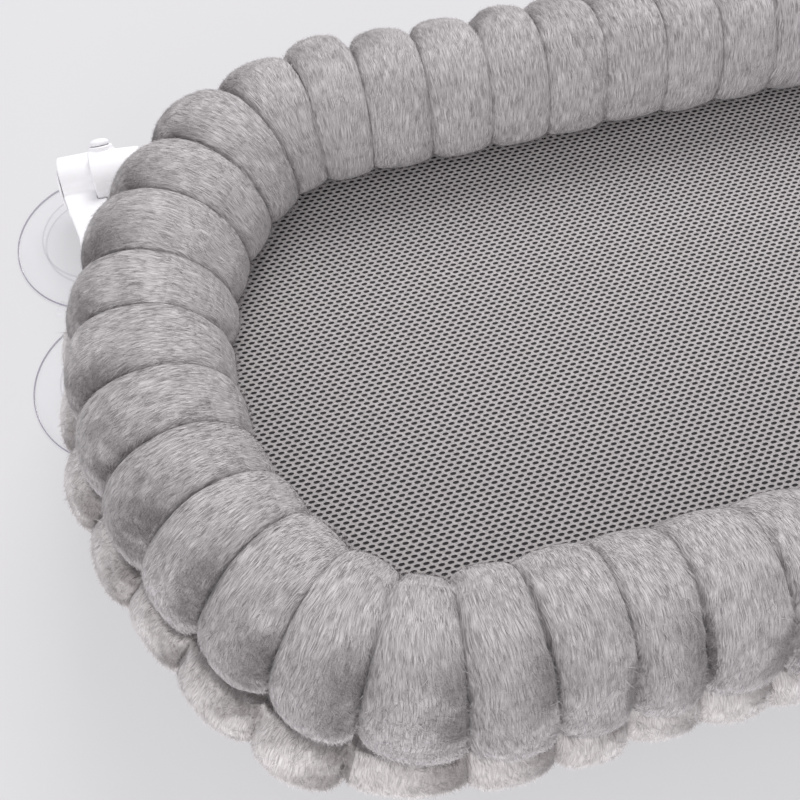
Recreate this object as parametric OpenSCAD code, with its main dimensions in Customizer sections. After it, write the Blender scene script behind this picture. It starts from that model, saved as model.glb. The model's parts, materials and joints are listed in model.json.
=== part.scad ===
// Window mounted cat perch: an oval plush bolster in two tiers round a mesh sling, on a steel ring.
// A steel bar along the window side carries two folding arms with two suction cups each.
// Shown with the arms folded forward under the bed, as it stands on its cups on a table.
// X runs along the bed, Y towards the window, Z up. The origin is under the middle of the whole,
// on the plane that the cup rims stand on.

/* [Bed] */
// Length of the straight stretch of the bolster's centre line
straight_l = 306; // [200:1:420]
// Half of the width between the bolster's centre lines
bed_half_w = 157; // [135:1:200]
// How far the rounded end reaches past the straight stretch
end_depth = 119; // [105:1:135]
// Radius of the corners where the straight stretch turns into the end
corner_r = 89; // [75:1:95]
// Number of stitched puffs round the bolster
puffs = 44; // [32:4:56]

/* [Bolster] */
// Width of the upper roll over its puffs
roll_w = 80; // [70:1:84]
// Height of the upper roll over its puffs, if it were a full ellipse
roll_h = 94; // [80:1:110]
// Depth of the stitched creases between the puffs
crease_depth = 6; // [2:0.5:8]
// Height of the roll's middle above the seam between the tiers
seam_drop = 12.5; // [10:0.5:16]
// Radius of the lower roll over its puffs
low_r = 27; // [24:0.5:29]
// How far the lower roll's middle lies outside the upper roll's along the front and back
low_side_out = 23; // [19:0.5:25]
// How far it lies outside at the left and right ends
low_end_out = 31; // [26:0.5:33]
// How much further out it bulges at the corners
low_corner_out = 10; // [0:0.5:12]
// How far the lower roll's middle lies under the upper roll's
low_drop = 29; // [27:0.5:34]
// Height of the lower roll's underside above the table
roll_lift = 38; // [37:0.5:50]

/* [Sling and ring] */
// Outer radius of the steel ring's tube
ring_r = 8; // [6:0.5:8.5]
// Wall of the steel tubes
tube_wall = 1.2; // [1:0.1:2]
// Thickness of the hem that wraps the ring
hem_t = 1.7; // [1:0.1:2]
// Thickness of the mesh
mesh_t = 2; // [1:0.1:2.4]
// How far the ring's tube lies inside the bolster's centre line
ring_in = 18; // [17:0.5:19]
// Length of the plug that joins the two halves of the ring
joiner_l = 60; // [40:1:90]

/* [Rear bar and risers] */
// Distance of the bar's axis behind the middle of the bed
bar_back = 204; // [200:1:225]
// Outer radius of the rear bar
bar_r = 8; // [7:0.25:8.25]
// Wall of the rear bar
bar_wall = 1.5; // [1:0.1:2]
// Distance of each riser from the middle
riser_x = 110; // [60:1:130]
// Width of a riser
riser_w = 36; // [32:1:50]
// Thickness of a riser's strap under the bolster
riser_t = 10; // [8:0.5:11]
// Thickness of a riser's post
post_t = 14; // [12:0.5:15]

/* [Folding arm] */
// Distance of each arm's cups from the middle
arm_x = 304; // [290:1:330]
// Width of an arm's hub
arm_w = 24; // [22:1:28]
// Width of an arm between its cups
beam_w = 13; // [12:0.5:18]
// Radius of an arm round each cup's stud
eye_r = 10.5; // [10:0.5:12]
// Thickness of an arm
arm_t = 12; // [10:0.5:12]
// Distance from the hinge to the rear cup
rear_cup_y = 23; // [22.5:0.5:30]
// Distance from the hinge to the front cup
front_cup_y = 130; // [128:1:150]
// Radius of the arm's hub under the bar
hub_r = 12; // [11:0.5:12.25]

/* [Lock] */
// Radius of the lock housing round the bar
housing_r = 17; // [16:0.5:17.5]
// Length of the lock housing
housing_l = 30.7; // [28:0.1:40]
// Angle of the plunger above the horizontal, towards the window
lock_angle = 50; // [45:1:60]
// Travel of the plunger
lock_travel = 3; // [2.6:0.1:3.2]
// Largest angle that the arm unfolds to
fold_max = 90; // [80:1:95]

/* [Suction cup] */
// Outer radius of a cup
cup_r = 52; // [45:0.5:53]
// Height of a cup from its rim to the arm
cup_h = 22; // [20:0.5:26]
// Radius of the stud that fixes a cup to its arm
stud_r = 4; // [3:0.25:4.5]

/* [Hidden] */
$fn = 64;

// Colours
plush = [0.63, 0.62, 0.63];
plush_low = [0.6, 0.59, 0.6];
mesh_grey = [0.55, 0.53, 0.54];
steel = [0.72, 0.73, 0.75];
white = [0.93, 0.93, 0.94];
zinc = [0.66, 0.67, 0.69];
clear = [0.88, 0.9, 0.93, 0.5];

// Clearances
run_gap = 0.08;
seat_gap = 0.05;
face_gap = 0.3;
soft_gap = 0.5;
cut = 1;

// The centre line is made of the straight stretch, two corner arcs and one flatter end arc a side
half_l = straight_l / 2;
end_r = (pow(end_depth, 2) + pow(bed_half_w, 2) - 2 * bed_half_w * corner_r)
    / (2 * (end_depth - corner_r));
end_cx = end_r - end_depth;
corner_y = bed_half_w - corner_r;
end_angle = atan2(corner_y, end_cx);
end_len = end_r * end_angle * PI / 180;
corner_len = corner_r * (90 - end_angle) * PI / 180;
quarter_len = end_len + corner_len + half_l;
loop_len = 4 * quarter_len;

// One quarter of the centre line, from the leftmost point to the middle of the front:
// each entry is [x, y, normal x, normal y]
function turned(cx, cy, r, a) = [cx - r * cos(a), cy - r * sin(a), -cos(a), -sin(a)];
function quarter(q) =
    q <= end_len ? turned(end_cx - half_l, 0, end_r, q / end_r * 180 / PI)
    : q <= end_len + corner_len
        ? turned(-half_l, -corner_y, corner_r, end_angle + (q - end_len) / corner_r * 180 / PI)
        : [q - end_len - corner_len - half_l, -bed_half_w, 0, -1];
function flipped(p, sx, sy) = [p[0] * sx, p[1] * sy, p[2] * sx, p[3] * sy];
function centre_line(s) =
    s < quarter_len ? quarter(s)
    : s < 2 * quarter_len ? flipped(quarter(2 * quarter_len - s), -1, 1)
    : s < 3 * quarter_len ? flipped(quarter(s - 2 * quarter_len), -1, -1)
    : flipped(quarter(loop_len - s), 1, -1);
function place(p, uz) = [p[0] + p[2] * uz[0], p[1] + p[3] * uz[0], uz[1]];

// Levels, from the table up
bar_z = cup_h + arm_t / 2;
bed_z = roll_lift + low_r + low_drop;
// The whole is centred between the rear cups' rims and the lower roll's front
back_reach = bar_back - rear_cup_y + cup_r;
front_reach = bed_half_w + low_side_out + low_r;
bed_y = (front_reach - back_reach) / 2;
bar_y = bed_y + bar_back;

// The bolster's cross-sections, as [outward, up] from the upper roll's middle
upper_arc_steps = 8;
lower_arc_steps = 9;
hem_r = ring_r + hem_t;
ring_drop = seam_drop + soft_gap + mesh_t / 2;
groove_half_w = hem_r + soft_gap * 2;
groove_top = hem_r + soft_gap - ring_drop;
function upper_section(crease) =
    let(a = roll_w / 2 - crease, b = roll_h / 2 - crease, dip = asin(seam_drop / b))
    concat(
        [for (j = [0 : upper_arc_steps])
            let(t = (180 + 2 * dip) * j / upper_arc_steps - dip)
            [a * cos(t), b * sin(t)]],
        [[-ring_in - groove_half_w, -seam_drop], [-ring_in - groove_half_w, groove_top],
         [groove_half_w - ring_in, groove_top], [groove_half_w - ring_in, -seam_drop]]);
function lower_section(crease) =
    let(r = low_r - crease, top = low_drop - seam_drop - soft_gap, rise = asin(top / r))
    [for (j = [0 : lower_arc_steps])
        let(t = 180 - rise + (180 + 2 * rise) * j / lower_arc_steps)
        [r * cos(t), r * sin(t) - low_drop]];

// The lower roll bulges out most at the corners, where p's normal is slanted
function low_out(p) =
    low_end_out * p[2] * p[2] + low_side_out * p[3] * p[3] + low_corner_out * pow(2 * p[2] * p[3], 4);

// A closed loop whose cross-section has n points at each station
module closed_loop(points, n) {
    stations = len(points) / n;
    faces = [for (i = [0 : stations - 1]) for (j = [0 : n - 1])
        let(a = i * n + j, b = i * n + (j + 1) % n)
        let(c = (i + 1) % stations * n + j, d = (i + 1) % stations * n + (j + 1) % n)
        for (f = [[a, b, d], [a, d, c]]) f];
    polyhedron(points, faces);
}

// A roll is drawn in at each crease and full halfway between two; low is 1 for the lower roll
module roll(puff_section, crease_section, low) {
    closed_loop([for (i = [0 : 2 * puffs - 1])
        let(p = centre_line(loop_len * i / (2 * puffs)), out = low * low_out(p))
        for (uz = i % 2 == 0 ? crease_section : puff_section) place(p, [uz[0] + out, uz[1]])],
        len(puff_section));
}

module at_bed() {
    translate([0, bed_y, bed_z]) children();
}

module upper_roll() {
    color(plush) at_bed() roll(upper_section(0), upper_section(crease_depth), 0);
}

module lower_roll() {
    color(plush_low) at_bed() roll(lower_section(0), lower_section(crease_depth), 1);
}

// Stations of the ring: along the arcs of each quarter, none inside the straights
end_steps = 6;
corner_steps = 4;
marks = concat([for (k = [0 : end_steps - 1]) end_len * k / end_steps],
    [for (k = [0 : corner_steps]) end_len + corner_len * k / corner_steps]);
marks_back = [for (k = [len(marks) - 1 : -1 : 1]) -marks[k]];
half_marks = concat(marks, [for (m = marks_back) m + 2 * quarter_len]);
ring_stations = concat(half_marks, [for (m = half_marks) m + 2 * quarter_len]);

// A closed tube along the ring, round which its section's points lie
ring_sides = 16;
module ring_loop(r) {
    closed_loop([for (s = ring_stations) for (k = [0 : ring_sides - 1])
        let(a = 360 * k / ring_sides)
        place(centre_line(s), [r * cos(a) - ring_in, r * sin(a)])], ring_sides);
}

// The section's corners lie on the outer radius, and its flats clear the inner one
module ring_tube(ro, ri) {
    difference() {
        ring_loop(ro);
        ring_loop(ri / cos(180 / ring_sides));
    }
}

// The mesh reaches to the hem on the inner side of the ring's tube
mesh_in = ring_in + hem_r + seat_gap;
module mesh_panel() {
    outline = [for (s = ring_stations)
        let(p = centre_line(s))
        [p[0] - p[2] * mesh_in, p[1] - p[3] * mesh_in]];
    color(mesh_grey) at_bed() translate([0, 0, -ring_drop - mesh_t / 2])
        linear_extrude(mesh_t) polygon(outline);
}

module at_ring() {
    translate([0, bed_y, bed_z - ring_drop]) children();
}

ring_bore = ring_r - tube_wall;
riser_bolt_r = 2.5;
riser_bolt_dx = 9;
joiner_screw_r = 2;
joiner_screw_x = joiner_l / 4;
bolt_gap = 0.25;
ring_y = bed_half_w - ring_in;

// Holes from below into the ring: the risers' bolts at the back, the joiners' screws front and back
module ring_holes(riser_hole_r, joiner_hole_r) {
    for (side = [-1, 1]) for (dx = [-riser_bolt_dx, riser_bolt_dx])
        translate([side * riser_x + dx, ring_y, -2 * hem_r]) cylinder(h = 2 * hem_r, r = riser_hole_r);
    for (side = [-1, 1]) for (y = [-ring_y, ring_y])
        translate([side * joiner_screw_x, y, -2 * hem_r]) cylinder(h = 2 * hem_r, r = joiner_hole_r);
}

module ring_half() {
    difference() {
        ring_tube(ring_r, ring_bore);
        ring_holes(riser_bolt_r + bolt_gap, joiner_screw_r + bolt_gap);
        translate([0, -bed_half_w, -hem_r]) cube([half_l + end_depth, 2 * bed_half_w, 2 * hem_r]);
    }
}

module ring_half_left() {
    color(steel) at_ring() ring_half();
}

module ring_half_right() {
    color(steel) at_ring() mirror([1, 0, 0]) ring_half();
}

screw_head_r = 4;
screw_head_t = 2.4;
module hem_sleeve() {
    color(mesh_grey) at_ring() difference() {
        ring_tube(hem_r, ring_r + seat_gap);
        ring_holes(riser_bolt_r + bolt_gap, screw_head_r + bolt_gap);
    }
}

// A plug inside the two halves of the ring, with its two screws' holes
module ring_joiner(y) {
    color(zinc) at_ring() difference() {
        translate([-joiner_l / 2, y, 0]) rotate([0, 90, 0]) cylinder(h = joiner_l, r = ring_bore - seat_gap);
        for (side = [-1, 1]) translate([side * joiner_screw_x, y, -ring_r]) cylinder(h = ring_r, r = joiner_screw_r);
    }
}

module ring_joiner_front() {
    ring_joiner(-ring_y);
}

module ring_joiner_back() {
    ring_joiner(ring_y);
}

// A round-headed screw that points up, its head's underside at the height given
module screw_up(seat_z, tip_z, r, head_r, head_t) {
    translate([0, 0, seat_z]) cylinder(h = tip_z - seat_z, r = r);
    translate([0, 0, seat_z - head_t]) difference() {
        cylinder(h = head_t, r = head_r);
        translate([0, 0, -head_t / 2]) cylinder(h = head_t, r = r / 2, $fn = 6);
    }
}

module ring_joiner_screws() {
    color(zinc) at_ring() for (side = [-1, 1]) for (y = [-ring_y, ring_y])
        translate([side * joiner_screw_x, y, 0])
            screw_up(-ring_r - seat_gap, -seat_gap, joiner_screw_r - seat_gap, screw_head_r, screw_head_t);
}

// The rear bar is the shaft that both arms turn on
bar_end = arm_x + arm_w / 2 + face_gap;
module at_bar() {
    translate([0, bar_y, bar_z]) children();
}

module along_x(x, l, r) {
    translate([x, 0, 0]) rotate([0, 90, 0]) cylinder(h = l, r = r);
}

module rear_bar() {
    color(steel) at_bar() difference() {
        along_x(-bar_end, 2 * bar_end, bar_r);
        along_x(-bar_end - cut, 2 * bar_end + 2 * cut, bar_r - bar_wall);
    }
}

// A riser grips the bar, runs forward under the lower roll and stands up to the ring
strap_top = roll_lift - 3 * soft_gap - bar_z;
clamp_wall = 5;
clamp_r = bar_r + clamp_wall;
post_y = ring_y - bar_back;
post_top = bed_z - ring_drop - bar_z - hem_r / 2;
hem_centre_z = bed_z - ring_drop - bar_z;
set_screw_r = 2.5;
set_screw_l = 5;
bolt_head_r = 4.5;
bolt_head_t = 3;
module riser() {
    difference() {
        translate([-riser_w / 2, 0, 0]) union() {
            along_x(0, riser_w, clamp_r);
            translate([0, post_y - post_t / 2, strap_top - riser_t])
                cube([riser_w, -post_y + post_t / 2, riser_t]);
            translate([0, post_y - post_t / 2, strap_top - riser_t])
                cube([riser_w, post_t, post_top - strap_top + riser_t]);
        }
        along_x(-riser_w, 2 * riser_w, bar_r + seat_gap);
        translate([0, post_y, hem_centre_z]) along_x(-riser_w, 2 * riser_w, hem_r + seat_gap);
        for (dx = [-riser_bolt_dx, riser_bolt_dx]) translate([dx, post_y, strap_top - riser_t]) {
            translate([0, 0, -cut]) cylinder(h = post_top, r = riser_bolt_r + bolt_gap);
            translate([0, 0, -cut]) cylinder(h = bolt_head_t + cut, r = bolt_head_r + bolt_gap);
            cylinder(h = 2 * post_top, r = riser_bolt_r + bolt_gap);
        }
        translate([0, 0, -2 * clamp_r]) cylinder(h = 2 * clamp_r, r = set_screw_r + seat_gap);
    }
}

module riser_left() {
    color(white) at_bar() translate([-riser_x, 0, 0]) riser();
}

module riser_right() {
    color(white) at_bar() translate([riser_x, 0, 0]) riser();
}

module riser_screws() {
    color(zinc) at_bar() for (side = [-1, 1]) for (dx = [-riser_bolt_dx, riser_bolt_dx])
        translate([side * riser_x + dx, post_y, 0])
            screw_up(strap_top - riser_t + bolt_head_t, hem_centre_z - ring_bore / 2,
                riser_bolt_r, bolt_head_r, bolt_head_t);
}

// Headless screws that fix the risers and the lock housings to the bar
housing_in = arm_x - arm_w / 3 - face_gap - housing_l;
set_screw_places = [riser_x, housing_in + set_screw_l];
module bar_set_screws() {
    color(zinc) at_bar() for (side = [-1, 1]) for (x = set_screw_places)
        translate([side * x, 0, -bar_r - seat_gap - set_screw_l]) difference() {
            cylinder(h = set_screw_l, r = set_screw_r);
            translate([0, 0, -set_screw_l / 2]) cylinder(h = set_screw_l, r = set_screw_r / 2, $fn = 6);
        }
}

// The lock: a pin on a sprung plunger rides in an arc slot of the arm's flange, so its ends stop the arm
hub_in = arm_w / 3;
flange_r = 11;
flange_rim = 1.2;
boss_r = 7.5;
pin_r = 2;
slot_half_w = pin_r + face_gap;
lock_x = hub_in + boss_r + 2 * face_gap;
flange_l = lock_x - hub_in + slot_half_w + flange_rim;
pin_tip = 8.9;
pocket_r = 5;
pocket_floor = 13.3;
boss_top = 22;
cap_t = 1.6;
collar_t = 1.5;
collar_r = pocket_r - 2 * seat_gap - bolt_gap;
head_r = 6;
head_t = 3.2;
head_gap = 0.4;
// The housing swells upwards, and less so towards the bed
housing_rise = 4;
housing_taper = 2.5;
spring_coils = 2;
spring_wire = 0.2;

// Left side parts are drawn round the hinge, with the arm at x = 0 and the bed towards +x
module at_left_hinge() {
    translate([-arm_x, bar_y, bar_z]) children();
}

module at_right_hinge() {
    translate([arm_x, bar_y, bar_z]) mirror([1, 0, 0]) children();
}

module along_plunger() {
    translate([lock_x, 0, 0]) rotate([lock_angle - 90, 0, 0]) children();
}

module lock_housing() {
    housing_x = hub_in + face_gap;
    color(white) difference() {
        union() {
            along_x(housing_x, housing_l, housing_r);
            translate([housing_x, 0, housing_rise]) rotate([0, 90, 0])
                cylinder(h = housing_l, r1 = housing_r, r2 = housing_r - housing_taper);
            along_plunger() translate([0, 0, flange_r]) cylinder(h = boss_top - flange_r, r = boss_r);
        }
        along_x(housing_x - cut, housing_l + 2 * cut, bar_r + seat_gap);
        along_x(housing_x - cut, flange_l + cut + face_gap, flange_r + face_gap);
        along_plunger() {
            translate([0, 0, pocket_floor]) cylinder(h = boss_top, r = pocket_r);
            translate([0, 0, bar_r]) cylinder(h = boss_top, r = pin_r + run_gap);
        }
        translate([housing_x + housing_l - set_screw_l, 0, -2 * housing_r])
            cylinder(h = 2 * housing_r, r = set_screw_r + seat_gap);
    }
}

module lock_housing_left() {
    at_left_hinge() lock_housing();
}

module lock_housing_right() {
    at_right_hinge() lock_housing();
}

module plunger() {
    color(white) along_plunger() {
        translate([0, 0, pin_tip]) cylinder(h = boss_top + head_gap + head_t - pin_tip, r = pin_r);
        translate([0, 0, pocket_floor + face_gap]) cylinder(h = collar_t, r = collar_r);
        translate([0, 0, boss_top + head_gap]) difference() {
            cylinder(h = head_t, r = head_r);
            for (a = [0 : 30 : 330]) rotate([0, 0, a]) translate([head_r + pin_r / 4, 0, -cut])
                cylinder(h = head_t + 2 * cut, r = pin_r / 2);
        }
    }
}

module plunger_left() {
    at_left_hinge() plunger();
}

module plunger_right() {
    at_right_hinge() plunger();
}

// The plunger's return spring, one unbroken tube under the cap, as long as the pulled plunger leaves it
spring_from = pocket_floor + 2 * face_gap + collar_t + lock_travel + spring_wire;
spring_to = boss_top - cap_t - spring_wire - seat_gap;
spring_r = collar_r - 2 * spring_wire;
spring_rings_a_turn = 16;
spring_sides = 6;
module plunger_spring() {
    rings = spring_coils * spring_rings_a_turn;
    points = [for (i = [0 : rings]) for (k = [0 : spring_sides - 1])
        let(turn = 360 * i / spring_rings_a_turn, side = 360 * k / spring_sides)
        let(r = spring_r + spring_wire * cos(side), rise = (spring_to - spring_from) * i / rings)
        [r * cos(turn), r * sin(turn), spring_from + rise + spring_wire * sin(side)]];
    sides = [for (i = [0 : rings - 1]) for (k = [0 : spring_sides - 1])
        let(a = i * spring_sides + k, b = i * spring_sides + (k + 1) % spring_sides)
        for (f = [[a, a + spring_sides, b + spring_sides], [a, b + spring_sides, b]]) f];
    first = [for (k = [1 : spring_sides - 2]) [0, k, k + 1]];
    last = [for (k = [1 : spring_sides - 2])
        [rings * spring_sides, rings * spring_sides + k + 1, rings * spring_sides + k]];
    color(zinc) along_plunger() polyhedron(points, concat(sides, first, last));
}

module plunger_spring_left() {
    at_left_hinge() plunger_spring();
}

module plunger_spring_right() {
    at_right_hinge() plunger_spring();
}

module plunger_cap() {
    color(white) along_plunger() translate([0, 0, boss_top - cap_t]) difference() {
        cylinder(h = cap_t, r = pocket_r - seat_gap);
        translate([0, 0, -cut]) cylinder(h = cap_t + 2 * cut, r = pin_r + run_gap);
    }
}

module plunger_cap_left() {
    at_left_hinge() plunger_cap();
}

module plunger_cap_right() {
    at_right_hinge() plunger_cap();
}

// The arm: a hub on the bar, a flange that runs in the lock housing, and a ribbed plate
hub_bore = bar_r + run_gap;
slot_play = asin(slot_half_w / (hub_bore + slot_half_w / 2));
plate_from = housing_r + soft_gap;
rib_t = 2.5;
pocket_depth = arm_t - 1.6 * rib_t;
// The hub swells upwards and towards the window
hub_swell_r = 14;
hub_back = 5.5;
hub_up = 2;
// The arm's root reaches this far beyond its hub, under the bed
root_out = 6;
waist_y = rear_cup_y + 2 * eye_r;
module arm_plate() {
    translate([0, 0, -arm_t / 2]) linear_extrude(arm_t) union() {
        polygon([[-arm_w / 2, 0], [-arm_w / 2, -hub_r], [-beam_w / 2, -waist_y], [-beam_w / 2, -front_cup_y],
            [beam_w / 2, -front_cup_y], [beam_w / 2, -waist_y], [hub_in + root_out, -plate_from],
            [hub_in, -plate_from], [hub_in, 0]]);
        for (y = [rear_cup_y, front_cup_y]) translate([0, -y]) circle(eye_r);
    }
}

// The slot that the plunger's pin rides in, from the folded stop to the unfolded one
module stop_slot() {
    translate([lock_x - slot_half_w, 0, 0]) rotate([90, 0, 90])
        rotate([0, 0, lock_angle - fold_max - slot_play])
        rotate_extrude(angle = fold_max + 2 * slot_play)
        translate([bar_r / 2, 0]) square([flange_r, 2 * slot_half_w]);
}

module arm_pockets() {
    from = rear_cup_y + eye_r;
    to = front_cup_y - eye_r;
    bays = 4;
    bay = (to - from - (bays - 1) * rib_t) / bays;
    for (i = [0 : bays - 1]) translate([-beam_w / 2 + rib_t, -from - bay - i * (bay + rib_t), -arm_t / 2 - cut])
        cube([beam_w - 2 * rib_t, bay, pocket_depth + cut]);
}

// Each cup's stud screws into a nut that is pressed into the arm from below
nut_t = 6.5;
nut_wall = 3.5;
nut_r = stud_r + nut_wall;
stud_cover = 3;
module stud_seat() {
    translate([0, 0, -arm_t / 2 - cut]) cylinder(h = nut_t + cut, r = nut_r + seat_gap, $fn = 6);
    translate([0, 0, -arm_t / 2 - cut]) cylinder(h = arm_t + cut - stud_cover + seat_gap, r = stud_r + seat_gap);
}

module arm() {
    color(white) difference() {
        union() {
            difference() {
                union() {
                    along_x(-arm_w / 2, arm_w / 2 + hub_in, hub_r);
                    translate([0, hub_back, hub_up]) along_x(-arm_w / 2, arm_w / 2 + hub_in, hub_swell_r);
                    arm_plate();
                }
                along_x(hub_in, housing_l, plate_from);
                translate([0, 0, housing_rise]) along_x(hub_in, housing_l, plate_from);
            }
            along_x(hub_in - cut, flange_l + cut, flange_r);
        }
        along_x(-arm_w, 2 * arm_w + flange_l, hub_bore);
        arm_pockets();
        for (y = [rear_cup_y, front_cup_y]) translate([0, -y, 0]) stud_seat();
        stop_slot();
    }
}

module arm_left() {
    at_left_hinge() arm();
}

module arm_right() {
    at_right_hinge() arm();
}

// The cap in the bar's end keeps the arm on
end_cap_t = 1.6;
end_plug_l = 14;
module end_cap() {
    color(white) union() {
        along_x(-arm_w / 2 - face_gap - end_cap_t, end_cap_t, hub_r);
        along_x(-arm_w / 2 - face_gap - cut, end_plug_l + cut, bar_r - bar_wall - seat_gap);
    }
}

module end_cap_left() {
    at_left_hinge() end_cap();
}

module end_cap_right() {
    at_right_hinge() end_cap();
}

// A cup: a thin flared bell under a neck, with a raised ring, a flat rim and a pull tab
neck_r = 9.5;
rim_w = 6;
rim_t = 1.5;
dish_depth = 5;
ridge_h = 1.4;
stud_depth = 12;
stud_flange_r = 8;
stud_flange_t = 1.5;
tab_l = 12;
tab_w = 10;
tab_angle = 240;
neck_foot_h = 13;
// The bell's outline from the neck to the rim: shares of the radius and of the neck foot's height
bell_shares = [[0.31, 0.8], [0.46, 0.62], [0.65, 0.4], [0.77, 0.26]];
ridge_r = bell_shares[2][0] * cup_r;
ridge_z = bell_shares[2][1] * neck_foot_h + rim_t;
module cup() {
    skirt = [for (p = bell_shares) [p[0] * cup_r, p[1] * neck_foot_h + rim_t]];
    color(clear) difference() {
        union() {
            rotate_extrude() polygon(concat([[0, dish_depth], [0, cup_h], [neck_r, cup_h], [neck_r, neck_foot_h + rim_t]],
                skirt, [[cup_r, rim_t], [cup_r, 0], [cup_r - rim_w, 0]]));
            rotate_extrude() translate([ridge_r, ridge_z]) circle(ridge_h);
            rotate([0, 0, tab_angle]) translate([cup_r - rim_w / 2, -tab_w / 2, 0])
                cube([tab_l, tab_w, rim_t]);
        }
        translate([0, 0, cup_h - stud_depth]) cylinder(h = stud_depth + cut, r = stud_r + seat_gap);
        translate([0, 0, cup_h - stud_flange_t]) cylinder(h = stud_flange_t + cut, r = stud_flange_r + seat_gap);
    }
}

// A cup, its stud and its nut stand on one vertical line under the arm
module on_left_arm(y) {
    translate([-arm_x, bar_y - y, 0]) children();
}

module on_right_arm(y) {
    translate([arm_x, bar_y - y, 0]) mirror([1, 0, 0]) children();
}

module cup_left_rear() {
    on_left_arm(rear_cup_y) cup();
}

module cup_left_front() {
    on_left_arm(front_cup_y) cup();
}

module cup_right_rear() {
    on_right_arm(rear_cup_y) cup();
}

module cup_right_front() {
    on_right_arm(front_cup_y) cup();
}

module stud() {
    color(zinc) union() {
        translate([0, 0, cup_h - stud_depth + seat_gap])
            cylinder(h = stud_depth + arm_t - stud_cover - seat_gap, r = stud_r);
        translate([0, 0, cup_h - stud_flange_t]) cylinder(h = stud_flange_t, r = stud_flange_r);
    }
}

module stud_left_rear() {
    on_left_arm(rear_cup_y) stud();
}

module stud_left_front() {
    on_left_arm(front_cup_y) stud();
}

module stud_right_rear() {
    on_right_arm(rear_cup_y) stud();
}

module stud_right_front() {
    on_right_arm(front_cup_y) stud();
}

module cup_nut() {
    color(zinc) translate([0, 0, cup_h]) difference() {
        cylinder(h = nut_t, r = nut_r, $fn = 6);
        translate([0, 0, -cut]) cylinder(h = nut_t + 2 * cut, r = stud_r + seat_gap);
    }
}

module cup_nuts_left() {
    on_left_arm(rear_cup_y) cup_nut();
    on_left_arm(front_cup_y) cup_nut();
}

module cup_nuts_right() {
    on_right_arm(rear_cup_y) cup_nut();
    on_right_arm(front_cup_y) cup_nut();
}

upper_roll();
lower_roll();
mesh_panel();
hem_sleeve();
ring_half_left();
ring_half_right();
ring_joiner_front();
ring_joiner_back();
ring_joiner_screws();
rear_bar();
riser_left();
riser_right();
riser_screws();
bar_set_screws();
lock_housing_left();
lock_housing_right();
plunger_left();
plunger_right();
plunger_spring_left();
plunger_spring_right();
plunger_cap_left();
plunger_cap_right();
arm_left();
arm_right();
end_cap_left();
end_cap_right();
cup_left_rear();
cup_left_front();
cup_right_rear();
cup_right_front();
stud_left_rear();
stud_left_front();
stud_right_rear();
stud_right_front();
cup_nuts_left();
cup_nuts_right();
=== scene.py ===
"""Window mounted cat perch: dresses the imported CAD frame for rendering. Lengths are metres."""
import json
import math

import bpy
import numpy as np
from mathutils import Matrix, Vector


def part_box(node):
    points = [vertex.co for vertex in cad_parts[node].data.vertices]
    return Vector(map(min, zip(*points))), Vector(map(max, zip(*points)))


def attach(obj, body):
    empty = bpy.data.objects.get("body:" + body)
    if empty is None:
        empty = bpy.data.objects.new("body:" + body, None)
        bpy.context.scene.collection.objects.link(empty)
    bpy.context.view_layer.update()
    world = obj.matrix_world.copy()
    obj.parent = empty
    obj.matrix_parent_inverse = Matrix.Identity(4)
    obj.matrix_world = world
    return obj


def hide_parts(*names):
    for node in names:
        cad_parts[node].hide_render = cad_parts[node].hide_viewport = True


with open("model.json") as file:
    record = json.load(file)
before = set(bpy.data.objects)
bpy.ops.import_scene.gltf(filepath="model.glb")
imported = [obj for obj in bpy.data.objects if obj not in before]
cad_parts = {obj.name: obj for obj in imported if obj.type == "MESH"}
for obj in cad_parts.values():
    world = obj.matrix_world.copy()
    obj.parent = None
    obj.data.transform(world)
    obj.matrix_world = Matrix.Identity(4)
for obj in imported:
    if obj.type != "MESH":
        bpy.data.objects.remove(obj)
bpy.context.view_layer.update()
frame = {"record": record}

MM = 0.001

# The centre line of the bolster, as the CAD has it
HALF_L = 153 * MM
BED_HALF_W = 157 * MM
END_DEPTH = 119 * MM
CORNER_R = 89 * MM
PUFFS = 44
END_R = (END_DEPTH**2 + BED_HALF_W**2 - 2 * BED_HALF_W * CORNER_R) / (2 * (END_DEPTH - CORNER_R))
END_CX = END_R - END_DEPTH
CORNER_Y = BED_HALF_W - CORNER_R
END_ANGLE = math.atan2(CORNER_Y, END_CX)
END_LEN = END_R * END_ANGLE
CORNER_LEN = CORNER_R * (math.pi / 2 - END_ANGLE)
QUARTER = END_LEN + CORNER_LEN + HALF_L
LOOP = 4 * QUARTER
PITCH = LOOP / PUFFS

# Levels and places, read from the frame
mesh_low, mesh_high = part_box("mesh_panel")
BED_Y = (mesh_low[1] + mesh_high[1]) / 2
MESH_T = mesh_high[2] - mesh_low[2]
RING_Z = (mesh_low[2] + mesh_high[2]) / 2
SEAM_DROP = 12.5 * MM
SOFT_GAP = 0.5 * MM
RING_DROP = SEAM_DROP + SOFT_GAP + MESH_T / 2
ROLL_Z = RING_Z + RING_DROP
RING_IN = 18 * MM
HEM_R = 9.7 * MM


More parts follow.
